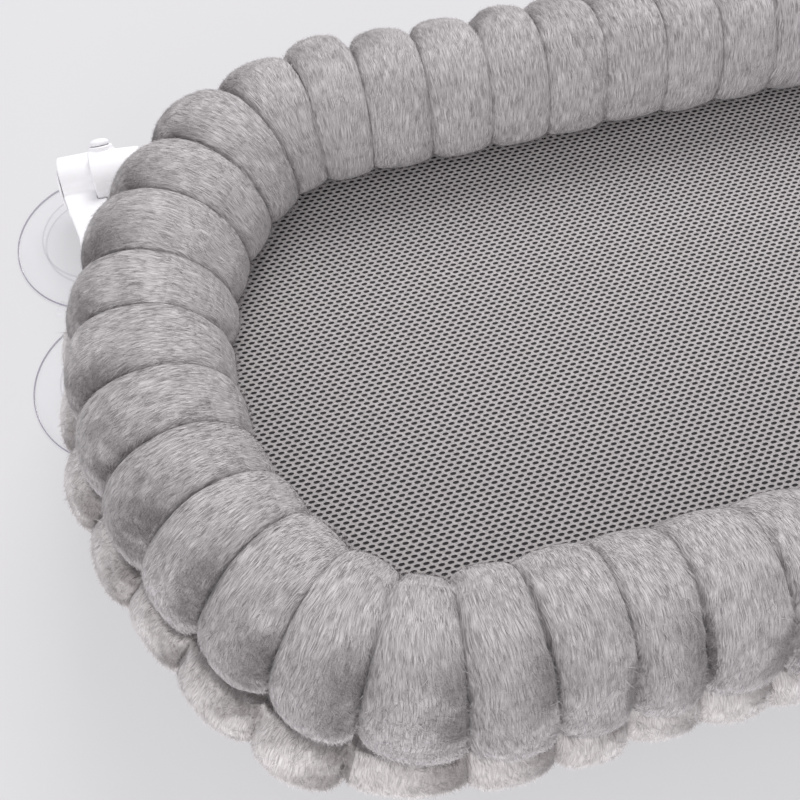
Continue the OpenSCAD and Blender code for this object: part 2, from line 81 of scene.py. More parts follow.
def centre_line(s):
    """Places and outward normals along the loop, from the leftmost point over the front."""
    s = np.mod(np.asarray(s, float), LOOP)
    quarter = np.minimum((s // QUARTER).astype(int), 3)
    q = np.where(quarter == 0, s, 0)
    q = np.where(quarter == 1, 2 * QUARTER - s, q)
    q = np.where(quarter == 2, s - 2 * QUARTER, q)
    q = np.where(quarter == 3, LOOP - s, q)
    a = q / END_R
    b = END_ANGLE + (q - END_LEN) / CORNER_R
    on_end, on_corner = q <= END_LEN, q <= END_LEN + CORNER_LEN
    x = np.where(on_end, END_CX - HALF_L - END_R * np.cos(a),
                 np.where(on_corner, -HALF_L - CORNER_R * np.cos(b), q - END_LEN - CORNER_LEN - HALF_L))
    y = np.where(on_end, -END_R * np.sin(a),
                 np.where(on_corner, -CORNER_Y - CORNER_R * np.sin(b), -BED_HALF_W))
    nx = np.where(on_end, -np.cos(a), np.where(on_corner, -np.cos(b), 0.0))
    ny = np.where(on_end, -np.sin(a), np.where(on_corner, -np.sin(b), -1.0))
    sx = np.where((quarter == 1) | (quarter == 2), -1.0, 1.0)
    sy = np.where((quarter == 2) | (quarter == 3), -1.0, 1.0)
    return np.stack([x * sx, y * sy + BED_Y, nx * sx, ny * sy], -1)


def mesh_object(name, points, faces, body="bed", uv=None, corner_uv=None):
    """A mesh piece that rides on a body; uv gives each vertex its place on the cloth, or corner_uv
    each corner of each face."""
    mesh = bpy.data.meshes.new(name)
    points = np.asarray(points, np.float32)
    faces = np.asarray(faces, np.int32)
    n = faces.shape[1]
    mesh.vertices.add(len(points))
    mesh.vertices.foreach_set("co", points.ravel())
    mesh.loops.add(faces.size)
    mesh.loops.foreach_set("vertex_index", faces.ravel())
    mesh.polygons.add(len(faces))
    mesh.polygons.foreach_set("loop_start", np.arange(0, faces.size, n, dtype=np.int32))
    mesh.update(calc_edges=True)
    if uv is not None:
        corner_uv = np.asarray(uv, np.float32)[faces.ravel()]
    if corner_uv is not None:
        layer = mesh.uv_layers.new(name="cloth")
        layer.data.foreach_set("uv", np.asarray(corner_uv, np.float32).ravel())
    mesh.polygons.foreach_set("use_smooth", np.ones(len(faces), bool))
    mesh.validate()
    obj = bpy.data.objects.new(name, mesh)
    bpy.context.collection.objects.link(obj)
    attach(obj, body)
    return obj


def grid_faces(rows, around, looped=False):
    """Quads between the rows of a grid, each row a closed ring; looped joins the last to the first."""
    i, j = np.meshgrid(np.arange(rows if looped else rows - 1), np.arange(around), indexing="ij")
    i2, j2 = (i + 1) % rows, (j + 1) % around
    quads = np.stack([i * around + j, i * around + j2, i2 * around + j2, i2 * around + j], -1)
    return quads.reshape(-1, 4)


# Camera: fitted to the creases of the bolster in the photograph
FOCAL_PX = 1011.93
IMAGE_PX = 800
SENSOR_MM = 36
CAMERA_AT = Vector((-0.2150, BED_Y - 0.2406, 0.5337))
CAMERA_TO = Vector((-0.1586, BED_Y - 0.0247, 0.0940))
camera_data = bpy.data.cameras.new("camera")
camera_data.sensor_width = SENSOR_MM
camera_data.lens = FOCAL_PX / IMAGE_PX * SENSOR_MM
camera = bpy.data.objects.new("camera", camera_data)
camera.location = CAMERA_AT
camera.rotation_mode = "QUATERNION"
camera.rotation_quaternion = (CAMERA_TO - CAMERA_AT).to_track_quat("-Z", "Y")
bpy.context.collection.objects.link(camera)
bpy.context.scene.camera = camera
bpy.context.scene.view_settings.view_transform = "Standard"


# Materials
def srgb(r, g, b):
    """An 8-bit screen colour as linear light."""
    def one(c):
        c /= 255
        return c / 12.92 if c <= 0.04045 else ((c + 0.055) / 1.055) ** 2.4
    return (one(r), one(g), one(b), 1.0)


class Nodes:
    """A material's node tree, with short calls for the nodes used here."""

    def __init__(self, name):
        self.material = bpy.data.materials.new(name)
        self.material.use_nodes = True
        self.tree = self.material.node_tree
        self.shader = self.tree.nodes["Principled BSDF"]

    def set(self, **values):
        for name, value in values.items():
            self.shader.inputs[name.replace("_", " ")].default_value = value
        return self

    def node(self, kind, **values):
        made = self.tree.nodes.new(kind)
        for name, value in values.items():
            if hasattr(made, name):
                setattr(made, name, value)
            else:
                made.inputs[name].default_value = value
        return made

    def link(self, a, b):
        self.tree.links.new(a, b)
        return self

    def mapped(self, vector, scale):
        made = self.node("ShaderNodeMapping", Scale=scale)
        self.link(vector, made.inputs["Vector"])
        return made.outputs["Vector"]

    def coordinates(self, scale=(1, 1, 1), source="Object"):
        return self.mapped(self.node("ShaderNodeTexCoord").outputs[source], scale)

    def split(self, vector):
        """The vector's X, Y and Z."""
        made = self.node("ShaderNodeSeparateXYZ")
        self.link(vector, made.inputs[0])
        return list(made.outputs)

    def noise(self, vector, scale, detail, rough=0.5):
        made = self.node("ShaderNodeTexNoise", Scale=scale, Detail=detail, Roughness=rough)
        self.link(vector, made.inputs["Vector"])
        return made.outputs["Fac"]

    def math(self, operation, a, b=0.5, clamp=False):
        made = self.node("ShaderNodeMath", operation=operation, use_clamp=clamp)
        for socket, value in zip(made.inputs, (a, b)):
            if isinstance(value, bpy.types.NodeSocket):
                self.link(value, socket)
            else:
                socket.default_value = value
        return made.outputs[0]

    def times(self, a, b):
        return self.math("MULTIPLY", a, b)

    def plus(self, a, b):
        return self.math("ADD", a, b)

    def smooth(self, value, low, high):
        """0 below low, 1 above high and smooth between; high may lie below low."""
        made = self.node("ShaderNodeMapRange", interpolation_type="SMOOTHSTEP", clamp=True)
        made.inputs["From Min"].default_value = low
        made.inputs["From Max"].default_value = high
        self.link(value, made.inputs["Value"])
        return made.outputs["Result"]

    def ramp(self, fac, stops):
        made = self.node("ShaderNodeValToRGB")
        elements = made.color_ramp.elements
        while len(elements) < len(stops):
            elements.new(0.5)
        for element, (position, colour) in zip(elements, stops):
            element.position = position
            element.color = colour
        self.link(fac, made.inputs["Fac"])
        return made.outputs["Color"]

    def mix(self, fac, a, b, blend="MIX"):
        made = self.node("ShaderNodeMix", data_type="RGBA", blend_type=blend)
        for socket, value in ((made.inputs[0], fac), (made.inputs[6], a), (made.inputs[7], b)):
            if isinstance(value, bpy.types.NodeSocket):
                self.link(value, socket)
            else:
                socket.default_value = value
        return made.outputs[2]

    def colour(self, socket):
        self.link(socket, self.shader.inputs["Base Color"])
        return self

    def rough(self, socket):
        self.link(socket, self.shader.inputs["Roughness"])
        return self

    def bump(self, height, strength, distance):
        made = self.node("ShaderNodeBump", Strength=strength, Distance=distance)
        self.link(height, made.inputs["Height"])
        self.link(made.outputs["Normal"], self.shader.inputs["Normal"])
        return self


# The pile. A noise is given as its scale, detail and roughness; a place along a puff as a share of it.
WANDER = {"Scale": 36.0, "Detail": 2.0}
WANDER_BEND = 0.006
HAIR_SCALE, HAIR_NOISE = (2600, 120, 1), (1, 1, 0.5)
LOCK_SCALE, LOCK_NOISE = (900, 50, 1), (1, 2, 0.5)
HAIR_SHARE = 0.92
STIPPLE_NOISE = (1500, 2, 0.6)
# The ruffled patch, stippled pile with painted shade beside the crease: its ramps along the girth, its
# places along the puff, its least share and outline
RUFFLED_RAMP = 38 * MM
RUFFLED_EDGE = 15 * MM
BESIDE_FROM, BESIDE_TO = 0.35, 0.9
BESIDE_LEAST = 0.35
UNEVEN_NOISE, UNEVEN_FROM, UNEVEN_TO = (30, 3, 0.6), 0.32, 0.54
RUFFLED_STIPPLE = 0.6
# How dark the painted shade in the ruffled patch is
RUFFLED_PAINTED_SHADE = (0.42, 0.405, 0.405, 1)
BRUSH_NOISE = (30, 2, 0.5)
BRUSH_STOPS = ((0.36, (0.95, 0.95, 0.95, 1)), (0.62, (1.02, 1.02, 1.02, 1)))
DARK_AT, MIDDLE_AT, LIGHT_AT = 0.36, 0.50, 0.64
# A hair's shade: how much is its own, and how much grows from its foot to its tip
OWN_SHADE, TIP_SHADE = 0.8, 0.2
FUR_BUMP = (0.7, 0.9 * MM)
# Added before a fraction is taken, so that it is never of a negative number
WELL_ABOVE = 1000
WHITE = (1, 1, 1, 1)


def fur_material(name, light, middle, dark, rough_from, rough_to, tip=0.0):
    """Short pile: fine streaks along the lie of the hair, broad brushed patches, and on each puff a ruffled
    patch beside its crease, between two places along the girth, stippled and darkened with painted shade."""
    m = Nodes(name).set(Roughness=0.9, Specular_IOR_Level=0.15, Sheen_Weight=0.25, Sheen_Roughness=0.5)
    cloth = m.coordinates(source="UV")
    wander = m.node("ShaderNodeTexNoise", **WANDER)
    bend = m.node("ShaderNodeVectorMath", operation="SCALE", Scale=WANDER_BEND)
    bent = m.node("ShaderNodeVectorMath", operation="ADD")
    m.link(cloth, wander.inputs["Vector"])
    m.link(wander.outputs["Color"], bend.inputs[0])
    m.link(cloth, bent.inputs[0])
    m.link(bend.outputs[0], bent.inputs[1])
    hair_at = bent.outputs[0]
    fine = m.noise(m.mapped(hair_at, HAIR_SCALE), *HAIR_NOISE)
    locks = m.noise(m.mapped(hair_at, LOCK_SCALE), *LOCK_NOISE)
    stipple = m.noise(hair_at, *STIPPLE_NOISE)
    along, girth, _ = m.split(cloth)
    puff = m.math("FRACT", m.plus(m.math("DIVIDE", along, PITCH), WELL_ABOVE))
    beside = m.plus(m.times(m.smooth(puff, BESIDE_FROM, BESIDE_TO), 1 - BESIDE_LEAST), BESIDE_LEAST)
    flank = m.times(m.smooth(girth, rough_from, rough_from + RUFFLED_RAMP),
                    m.smooth(girth, rough_to, rough_to - RUFFLED_EDGE))
    uneven = m.smooth(m.noise(cloth, *UNEVEN_NOISE), UNEVEN_FROM, UNEVEN_TO)
    ruffled = m.times(m.times(beside, flank), uneven)
    streaks = m.plus(m.times(fine, HAIR_SHARE), m.times(locks, 1 - HAIR_SHARE))
    pile = m.mix(m.times(ruffled, RUFFLED_STIPPLE), streaks, stipple)
    shade = m.ramp(pile, ((DARK_AT, dark), (MIDDLE_AT, middle), (LIGHT_AT, light)))
    brushed = m.ramp(m.noise(cloth, *BRUSH_NOISE), BRUSH_STOPS)
    # Painted shade over the ruffled patch, beside each crease
    painted_crease_shade = m.mix(ruffled, WHITE, RUFFLED_PAINTED_SHADE)
    colour = m.mix(1.0, m.mix(1.0, shade, brushed, "MULTIPLY"), painted_crease_shade, "MULTIPLY")
    if tip:
        own, foot_to_tip, _ = m.split(m.node("ShaderNodeUVMap", uv_map="blade").outputs[0])
        shade_at = m.plus(m.times(own, OWN_SHADE), m.times(foot_to_tip, TIP_SHADE))
        shaded = m.mix(shade_at, (1 - tip,) * 3 + (1,), (1 + tip,) * 3 + (1,))
        m.colour(m.mix(1.0, colour, shaded, "MULTIPLY"))
        return m.material
    m.colour(colour)
    return m.bump(pile, *FUR_BUMP).material


def dimmed(colour, share):
    return tuple(c * share for c in colour[:3]) + (1,)


FLOW_NOISE, FLOW_FROM, FLOW_TO = (30, 3), 0.3, 0.7
GRAIN_NOISE, GRAIN_ROUGH = (2400, 2), 0.12
GRAIN_BUMP = (0.12, 0.1 * MM)


def moulded_material(name, colour, rough=0.34, speckle=0.02):
    """Moulded plastic: faint flow marks and a fine grain."""
    m = Nodes(name).set(Specular_IOR_Level=0.5, Coat_Weight=0.15, Coat_Roughness=0.2)
    where = m.coordinates()
    flow = m.noise(where, *FLOW_NOISE)
    grain = m.noise(where, *GRAIN_NOISE)
    m.colour(m.ramp(flow, ((FLOW_FROM, dimmed(colour, 1 - 2 * speckle)), (FLOW_TO, colour))))
    m.rough(m.plus(m.times(grain, GRAIN_ROUGH), rough - GRAIN_ROUGH / 2))
    return m.bump(grain, *GRAIN_BUMP).material


DRAWN_SCALE, DRAWN_NOISE = (40, 2500, 2500), (1, 2)
SPOT_NOISE, SPOT_FROM, SPOT_TO, SPOT_SHADE = (120, 4), 0.35, 0.6, 0.86
STEEL_ROUGH, DRAWN_ROUGH = 0.23, 0.15
STEEL_BUMP = (0.08, 0.05 * MM)


def steel_material(name, colour):
    """Plated steel with fine drawn lines and dull spots."""
    m = Nodes(name).set(Metallic=1.0)
    lines = m.noise(m.coordinates(DRAWN_SCALE), *DRAWN_NOISE)
    spots = m.noise(m.coordinates(), *SPOT_NOISE)
    m.colour(m.ramp(spots, ((SPOT_FROM, dimmed(colour, SPOT_SHADE)), (SPOT_TO, colour))))
    m.rough(m.plus(m.times(lines, DRAWN_ROUGH), STEEL_ROUGH))
    return m.bump(lines, *STEEL_BUMP).material


WEAVE_FROM, WEAVE_TO, WEAVE_SHADE = 0.15, 0.75, 0.62
WORN_NOISE = (60, 3)
WORN_STOPS = ((0.35, (0.9, 0.9, 0.9, 1)), (0.65, WHITE))
WEAVE_BUMP = (0.6, 0.4 * MM)


def woven_material(name, colour, thread):
    """A plain weave of the given thread width, over two strands of the cloth's own map."""
    m = Nodes(name).set(Roughness=0.85, Specular_IOR_Level=0.2, Sheen_Weight=0.2, Sheen_Roughness=0.5)
    warp, weft, _ = m.split(m.coordinates((math.pi / thread, math.pi / thread, 1), "UV"))
    weave = m.times(m.math("SINE", warp), m.math("SINE", weft))
    lit = m.plus(m.times(weave, 0.5), 0.5)
    worn = m.noise(m.coordinates(), *WORN_NOISE)
    cloth = m.ramp(lit, ((WEAVE_FROM, dimmed(colour, WEAVE_SHADE)), (WEAVE_TO, colour)))
    m.colour(m.mix(1.0, cloth, m.ramp(worn, WORN_STOPS), "MULTIPLY"))
    return m.bump(lit, *WEAVE_BUMP).material


# Clear vinyl: where its lip, ring and neck begin and end, and how much of each shows; the lip and ring are
# also darkened, partly for the thicker vinyl there and partly as painted shade for the refraction along
# their edges
LIP_FROM, LIP_TO, LIP_SHOWN = 0.9 * MM, 0.5 * MM, 0.6
RING_FROM, RING_TO, RING_SHOWN = 1.0 * MM, 0.3 * MM, 0.14
NECK_FADE, NECK_SHOWN = 3 * MM, 0.25
PLAIN_SHOWN = 0.07
CLOUD_NOISE, CLOUD_ROUGH, VINYL_ROUGH = (60, 3), 0.08, 0.06
VINYL, VINYL_EDGE_SHADE = srgb(232, 232, 238), srgb(128, 122, 142)
CLOUD_BUMP = (0.1, 0.3 * MM)


def clear_material(name):
    """Clear soft vinyl, mapped by its distance from the cup's axis: the lip and the ring show more, in a
    darker tone that is partly the thicker vinyl there and partly painted shade for the refraction along
    their edges.
    """
    m = Nodes(name).set(Roughness=0.1, IOR=1.45, Specular_IOR_Level=0.6)
    radius = m.split(m.coordinates(source="UV"))[0]
    lip = m.smooth(radius, CUP_R - LIP_FROM, CUP_R - LIP_TO)
    off_ring = m.math("ABSOLUTE", m.math("SUBTRACT", radius, CUP_RING_R))
    ring = m.smooth(off_ring, RING_FROM, RING_TO)
    neck = m.smooth(radius, CUP_NECK_R + NECK_FADE, CUP_NECK_R)
    shown = m.math("MAXIMUM", m.times(lip, LIP_SHOWN), m.times(ring, RING_SHOWN))
    shown = m.math("MAXIMUM", shown, m.times(neck, NECK_SHOWN))
    m.link(m.plus(shown, PLAIN_SHOWN), m.shader.inputs["Alpha"])
    m.colour(m.mix(m.math("MAXIMUM", lip, ring), VINYL, VINYL_EDGE_SHADE))
    cloud = m.noise(m.coordinates(), *CLOUD_NOISE)
    m.rough(m.plus(m.times(cloud, CLOUD_ROUGH), VINYL_ROUGH))
    return m.bump(cloud, *CLOUD_BUMP).material


# The suction cups' sizes
CUP_R = 52 * MM
CUP_RING_R = 33.8 * MM
CUP_NECK_R = 9.5 * MM
# A radius where the vinyl is plain, for the pull tab's map
PLAIN_R = 42 * MM

# The pile's colours: hair tips, its middle tone and the gaps between hairs, which hold painted shade; the
# places of the ruffled patches with their painted shade
PILE_LIGHT, PILE_MIDDLE, PILE_DARK = srgb(207, 202, 203), srgb(181, 177, 178), srgb(144, 139, 140)
# The lower roll: the same pile painted lighter, as painted light falling on it from the front
LOW_LIGHT, LOW_MIDDLE, LOW_DARK = srgb(236, 231, 230), srgb(217, 212, 211), srgb(190, 185, 184)
RUFFLED_SHADED_UPPER = (58 * MM, 136 * MM)
RUFFLED_SHADED_LOWER = (30 * MM, 100 * MM)
HAIR_UPPER_TIP, HAIR_LOWER_TIP = 0.17, 0.15
UPPER_FUR = (PILE_LIGHT, PILE_MIDDLE, PILE_DARK, *RUFFLED_SHADED_UPPER)
LOWER_FUR = (LOW_LIGHT, LOW_MIDDLE, LOW_DARK, *RUFFLED_SHADED_LOWER)
fur_upper = fur_material("fur_upper", *UPPER_FUR)
fur_lower = fur_material("fur_lower", *LOWER_FUR)
hair_upper = fur_material("hair_upper", *UPPER_FUR, tip=HAIR_UPPER_TIP)
hair_lower = fur_material("hair_lower", *LOWER_FUR, tip=HAIR_LOWER_TIP)
white_moulded = moulded_material("white_moulded", srgb(240, 239, 241))
white_button = moulded_material("white_button", srgb(236, 235, 238), rough=0.4)
steel_coat = moulded_material("steel_coat", srgb(222, 222, 225), rough=0.42, speckle=0.015)
zinc = steel_material("zinc", srgb(190, 192, 196))
clear_vinyl = clear_material("clear_vinyl")
HEM_THREAD = 0.7 * MM
hem_cloth = woven_material("hem_cloth", srgb(150, 146, 147), HEM_THREAD)


# The bolster: two stuffed rolls, stitched in at each crease
COARSE_STATIONS = 8
COARSE_AROUND = 36
FINE = 2
UPPER_A = 39.5 * MM
UPPER_B = 46 * MM
UPPER_UNDER = 17 * MM
# How much further out the upper roll swells at the corners towards the window
BACK_CORNER_OUT = 7 * MM
LOW_R = 26.5 * MM
LOW_SIDE_OUT = 22 * MM
LOW_END_OUT = 26.5 * MM
LOW_CORNER_OUT = 6 * MM
LOW_DROP = 29 * MM
SEAM_GAP = 0.4 * MM
# The swell's shares of the outward normal's X and Y, and where a section turns to its outer side
SWELL_X, SWELL_Y, OUTER = (0.4, 0.95), (-0.3, 0.35), (-0.6, 0.9)
# The creases' depths in millimetres: on the inner side, and what the outer side adds
UPPER_CREASE, LOW_CREASE = (4.5, 6.5), (5, 3.5)
# The lower roll's top: it follows the upper one from below, then rises free outside it
LOW_UNDER_IN, LOW_UNDER_GAP = 2 * MM, 1 * MM
LOW_FREE, LOW_FREE_RAMP = 20 * MM, 4 * MM
# How near to the seam the rolls' points count as lying on it
UPPER_SEAM_NEAR, LOW_SEAM_UNDER, LOW_SEAM_NEAR = 0.6 * MM, 1.6 * MM, 1.2 * MM
# A puff's profile between its creases: 1 is half an ellipse, less is flatter with a narrower crease
FULLNESS = 0.82
# The puffs' cloth: how far it may swell, its pressure and its spare length
CLOTH_CAP = 1.2 * MM
CLOTH_PRESSURE = 1.6
CLOTH_SPARE = 0.02
CLOTH_FRAMES = 20
CLOTH_SETTINGS = {"quality": 4, "mass": 0.15, "tension_stiffness": 12, "compression_stiffness": 12,
                  "shear_stiffness": 4, "bending_stiffness": 0.15, "vertex_group_mass": "pin",
                  "use_pressure": True, "uniform_pressure_force": CLOTH_PRESSURE,
                  "shrink_min": -CLOTH_SPARE}
# How the puffs differ: their creases' places, how far they droop and how far they lean along the roll
CREASE_SCATTER = 0.03
DROOP = 1.5 * MM
LEAN, LEAN_SCATTER, LEAN_SIDE = 1.2 * MM, 1.4 * MM, (-0.5, 0.6)
# The cover's relief: how far each wave spreads, in grid steps, and how high it is
RELIEF = (((0.7, 1.6), 0.13 * MM), ((3, 5), 0.30 * MM))
# Least divisors, so that nothing is divided by zero
TINY, NO_AREA = 1e-9, 1e-12


def smooth_field(shape, spread, seed):
    """Even random relief on a closed grid: white noise blurred by spread grid steps each way."""
    made = np.random.default_rng(seed).normal(size=shape)
    for axis, width in enumerate(spread):
        wave = np.fft.fftfreq(shape[axis])
        keep = np.exp(-2 * (np.pi * wave * width) ** 2)
        keep = keep[:, None] if axis == 0 else keep[None, :]
        made = np.fft.ifft(np.fft.fft(made, axis=axis) * keep, axis=axis).real
    return made / made.std()


def eased(x, low, high):
    t = np.clip((x - low) / (high - low), 0, 1)
    return t * t * (3 - 2 * t)


def refined(grid, times, axis):
    """Puts more rows into a closed grid of points, on smooth cubic curves through the old ones."""
    p0, p1, p2, p3 = (np.roll(grid, k, axis) for k in (1, 0, -1, -2))
    parts = []
    for k in range(times):
        f = k / times
        parts.append(0.5 * (2 * p1 + (p2 - p0) * f + (2 * p0 - 5 * p1 + 4 * p2 - p3) * f**2
                            + (3 * p1 - p0 - 3 * p2 + p3) * f**3))
    stacked = np.stack(parts, axis + 1)
    shape = list(grid.shape)
    shape[axis] *= times
    return stacked.reshape(shape)


def grid_normals(grid):
    """Outward normals of a closed grid of points."""
    along = np.roll(grid, -1, 0) - np.roll(grid, 1, 0)
    around = np.roll(grid, -1, 1) - np.roll(grid, 1, 1)
    made = np.cross(around, along)
    return made / np.maximum(np.linalg.norm(made, axis=-1, keepdims=True), NO_AREA)


def inflated(grid, pinned):
    """The grid blown up as cloth between its pinned creases; no point moves further than CLOTH_CAP."""
    stations, around = grid.shape[:2]
    obj = mesh_object("cloth_form", grid.reshape(-1, 3), grid_faces(stations, around, looped=True))
    group = obj.vertex_groups.new(name="pin")
    for weight in np.unique(pinned):
        if weight > 0:
            group.add(np.flatnonzero(pinned.ravel() == weight).tolist(), float(weight), "REPLACE")
    cloth = obj.modifiers.new("cloth", "CLOTH")
    for setting, value in CLOTH_SETTINGS.items():
        setattr(cloth.settings, setting, value)
    cloth.settings.effector_weights.gravity = 0
    cloth.collision_settings.use_collision = False
    cloth.point_cache.frame_start, cloth.point_cache.frame_end = 1, CLOTH_FRAMES
    for number in range(1, CLOTH_FRAMES + 1):
        bpy.context.scene.frame_set(number)
    shown = obj.evaluated_get(bpy.context.evaluated_depsgraph_get())
    found = np.empty(len(shown.data.vertices) * 3, np.float32)
    shown.data.vertices.foreach_get("co", found)
    bpy.context.scene.frame_set(1)
    bpy.data.objects.remove(obj)
    move = found.reshape(grid.shape) - grid
    length = np.linalg.norm(move, axis=-1, keepdims=True)
    return grid + move * np.minimum(1, CLOTH_CAP / np.maximum(length, TINY))


def roll_grid(section, seed, uneven):
    """Places of a creased roll's points: [station, around, xyz], and the loop place of each station.
    Between two creases the fabric stands out as an arc does."""
    draw = np.random.default_rng(seed)
    turn = np.pi * np.arange(COARSE_STATIONS) / COARSE_STATIONS
    share = np.tile((1 - np.cos(turn)) / 2, PUFFS)
    bulge = np.tile(np.sin(turn) ** FULLNESS, PUFFS)
    puff = np.repeat(np.arange(PUFFS), COARSE_STATIONS)
    shift = draw.normal(0, CREASE_SCATTER, PUFFS)
    shift = np.append(shift, shift[0])
    at = (puff + share + (1 - share) * shift[puff] + share * shift[puff + 1]) * PITCH
    angle = 2 * np.pi * np.arange(COARSE_AROUND) / COARSE_AROUND
    line = centre_line(at)
    base, way, depth = section(angle[None], line)
    swell = draw.normal(0, uneven, PUFFS)[puff] * bulge
    droop = draw.normal(0, DROOP, PUFFS)[puff] * bulge
    out = base[0] + way[0] * depth * (1 - bulge)[:, None] - way[0] * (swell * UPPER_A)[:, None]
    up = base[1] + way[1] * depth * (1 - bulge)[:, None] - way[1] * (swell * UPPER_A)[:, None]
    up = up + np.where(way[1] < 0, 1, 0) * droop[:, None]
    lean = draw.normal(LEAN, LEAN_SCATTER, PUFFS)[puff][:, None] * eased(-np.cos(angle), *LEAN_SIDE)[None]
    lean = lean * bulge[:, None]
    x = line[:, 0:1] + line[:, 2:3] * out - line[:, 3:4] * lean
    y = line[:, 1:2] + line[:, 3:4] * out + line[:, 2:3] * lean
    return np.stack([x, y, ROLL_Z + up], -1), at


def ruffle(cloth, rough_from, rough_to):
    """How ruffled the pile is at a place on the cloth, as the material has it apart from its noise."""
    puff, girth = np.mod(cloth[..., 0] / PITCH, 1), cloth[..., 1]
    beside = BESIDE_LEAST + (1 - BESIDE_LEAST) * eased(puff, BESIDE_FROM, BESIDE_TO)
    begun = eased(girth, rough_from, rough_from + RUFFLED_RAMP)
    return beside * begun * (1 - eased(girth, rough_to - RUFFLED_EDGE, rough_to))


# Hairs: the range of their length, rise and width, as shares of what a roll gives
HAIR_LENGTHS, HAIR_RISES, HAIR_WIDTHS = (0.65, 1.25), (0.3, 1.7), (0.7, 1.3)
# How they swirl together, scatter and curl, and what a ruffled place adds to their scatter and rise
SWIRL, SCATTER, CURL = 0.17, 0.08, 0.08
LOOSE_SCATTER, LOOSE_SHORTER, LOOSE_RISE = 0.60, 0.2, 1.6
SWIRL_SPREAD, CLUMP_SPREAD, CLUMP_FROM = (5, 5), (4, 6), 1.3
# Beside the seam they lie flat
SEAM_RISE, SEAM_RISE_FROM, SEAM_RISE_TO = 0.3, 20 * MM, 45 * MM
ROOT_DEPTH = 0.15 * MM
FACING_SCATTER, FACING_LEAN = 0.23, 0.10


def tufts(grid, normals, uv_of, hidden, ruffled_band, pile, seed):
    """Fine hairs laid along the roll's girth: points, normals, cloth places and blade places."""
    count, length, width, lift = pile
    draw = np.random.default_rng(seed)
    stations, around = grid.shape[:2]
    across, along = np.roll(grid, -1, 0) - grid, np.roll(grid, -1, 1) - grid
    area = np.linalg.norm(np.cross(across, along), axis=-1) * (1 - hidden)
    picked = np.searchsorted(np.cumsum(area.ravel()) / area.sum(), draw.random(count))
    i, j = np.divmod(np.minimum(picked, stations * around - 1), around)
    i2, j2 = (i + 1) % stations, (j + 1) % around
    f, g = draw.random(count)[:, None], draw.random(count)[:, None]
    near, far = grid[i, j] * (1 - f) + grid[i2, j] * f, grid[i, j2] * (1 - f) + grid[i2, j2] * f
    root = near * (1 - g) + far * g
    up = normals[i, j] * (1 - g) + normals[i, j2] * g
    up /= np.linalg.norm(up, axis=-1, keepdims=True)
    lie = grid[i, j2] - grid[i, j]
    lie /= np.maximum(np.linalg.norm(lie, axis=-1, keepdims=True), TINY)
    side = np.cross(up, lie)
    field = smooth_field((stations, around), SWIRL_SPREAD, seed + 1)
    clumps = np.clip(smooth_field((stations, around), CLUMP_SPREAD, seed + 2) - CLUMP_FROM, 0, 1)
    where = uv_of(i + f[:, 0], j + g[:, 0])
    loose = ruffle(where, *ruffled_band) + clumps[i, j]
    turn = (field[i, j] * SWIRL + draw.normal(0, 1, count) * (SCATTER + LOOSE_SCATTER * loose))[:, None]
    lie = lie * np.cos(turn) + side * np.sin(turn)
    side = np.cross(up, lie)
    size = length * draw.uniform(*HAIR_LENGTHS, count)[:, None] * (1 - LOOSE_SHORTER * loose[:, None])
    rise = lift * draw.uniform(*HAIR_RISES, count)[:, None] * (1 + LOOSE_RISE * loose[:, None])
    rise *= SEAM_RISE + (1 - SEAM_RISE) * eased(where[:, 1:], SEAM_RISE_FROM, SEAM_RISE_TO)
    half = width / 2 * draw.uniform(*HAIR_WIDTHS, count)[:, None]
    curl = draw.normal(0, CURL, count)[:, None]
    foot = root - up * ROOT_DEPTH
    tip = root + lie * size + up * size * rise + side * size * curl
    points = np.stack([foot + side * half, foot - side * half, tip], 1)
    at_tip = np.array([0.0, 0.0, 1.0])
    uv = np.repeat(where[:, None], 3, 1)
    uv[:, :, 1] += at_tip * size * np.cos(turn)
    shade = draw.random(count)
    blade = np.stack([np.repeat(shade[:, None], 3, 1), np.tile(at_tip, (count, 1))], -1)
    facing = up + side * draw.normal(0, FACING_SCATTER, count)[:, None] - lie * FACING_LEAN
    facing /= np.linalg.norm(facing, axis=-1, keepdims=True)
    return points, np.repeat(facing[:, None], 3, 1), uv, blade


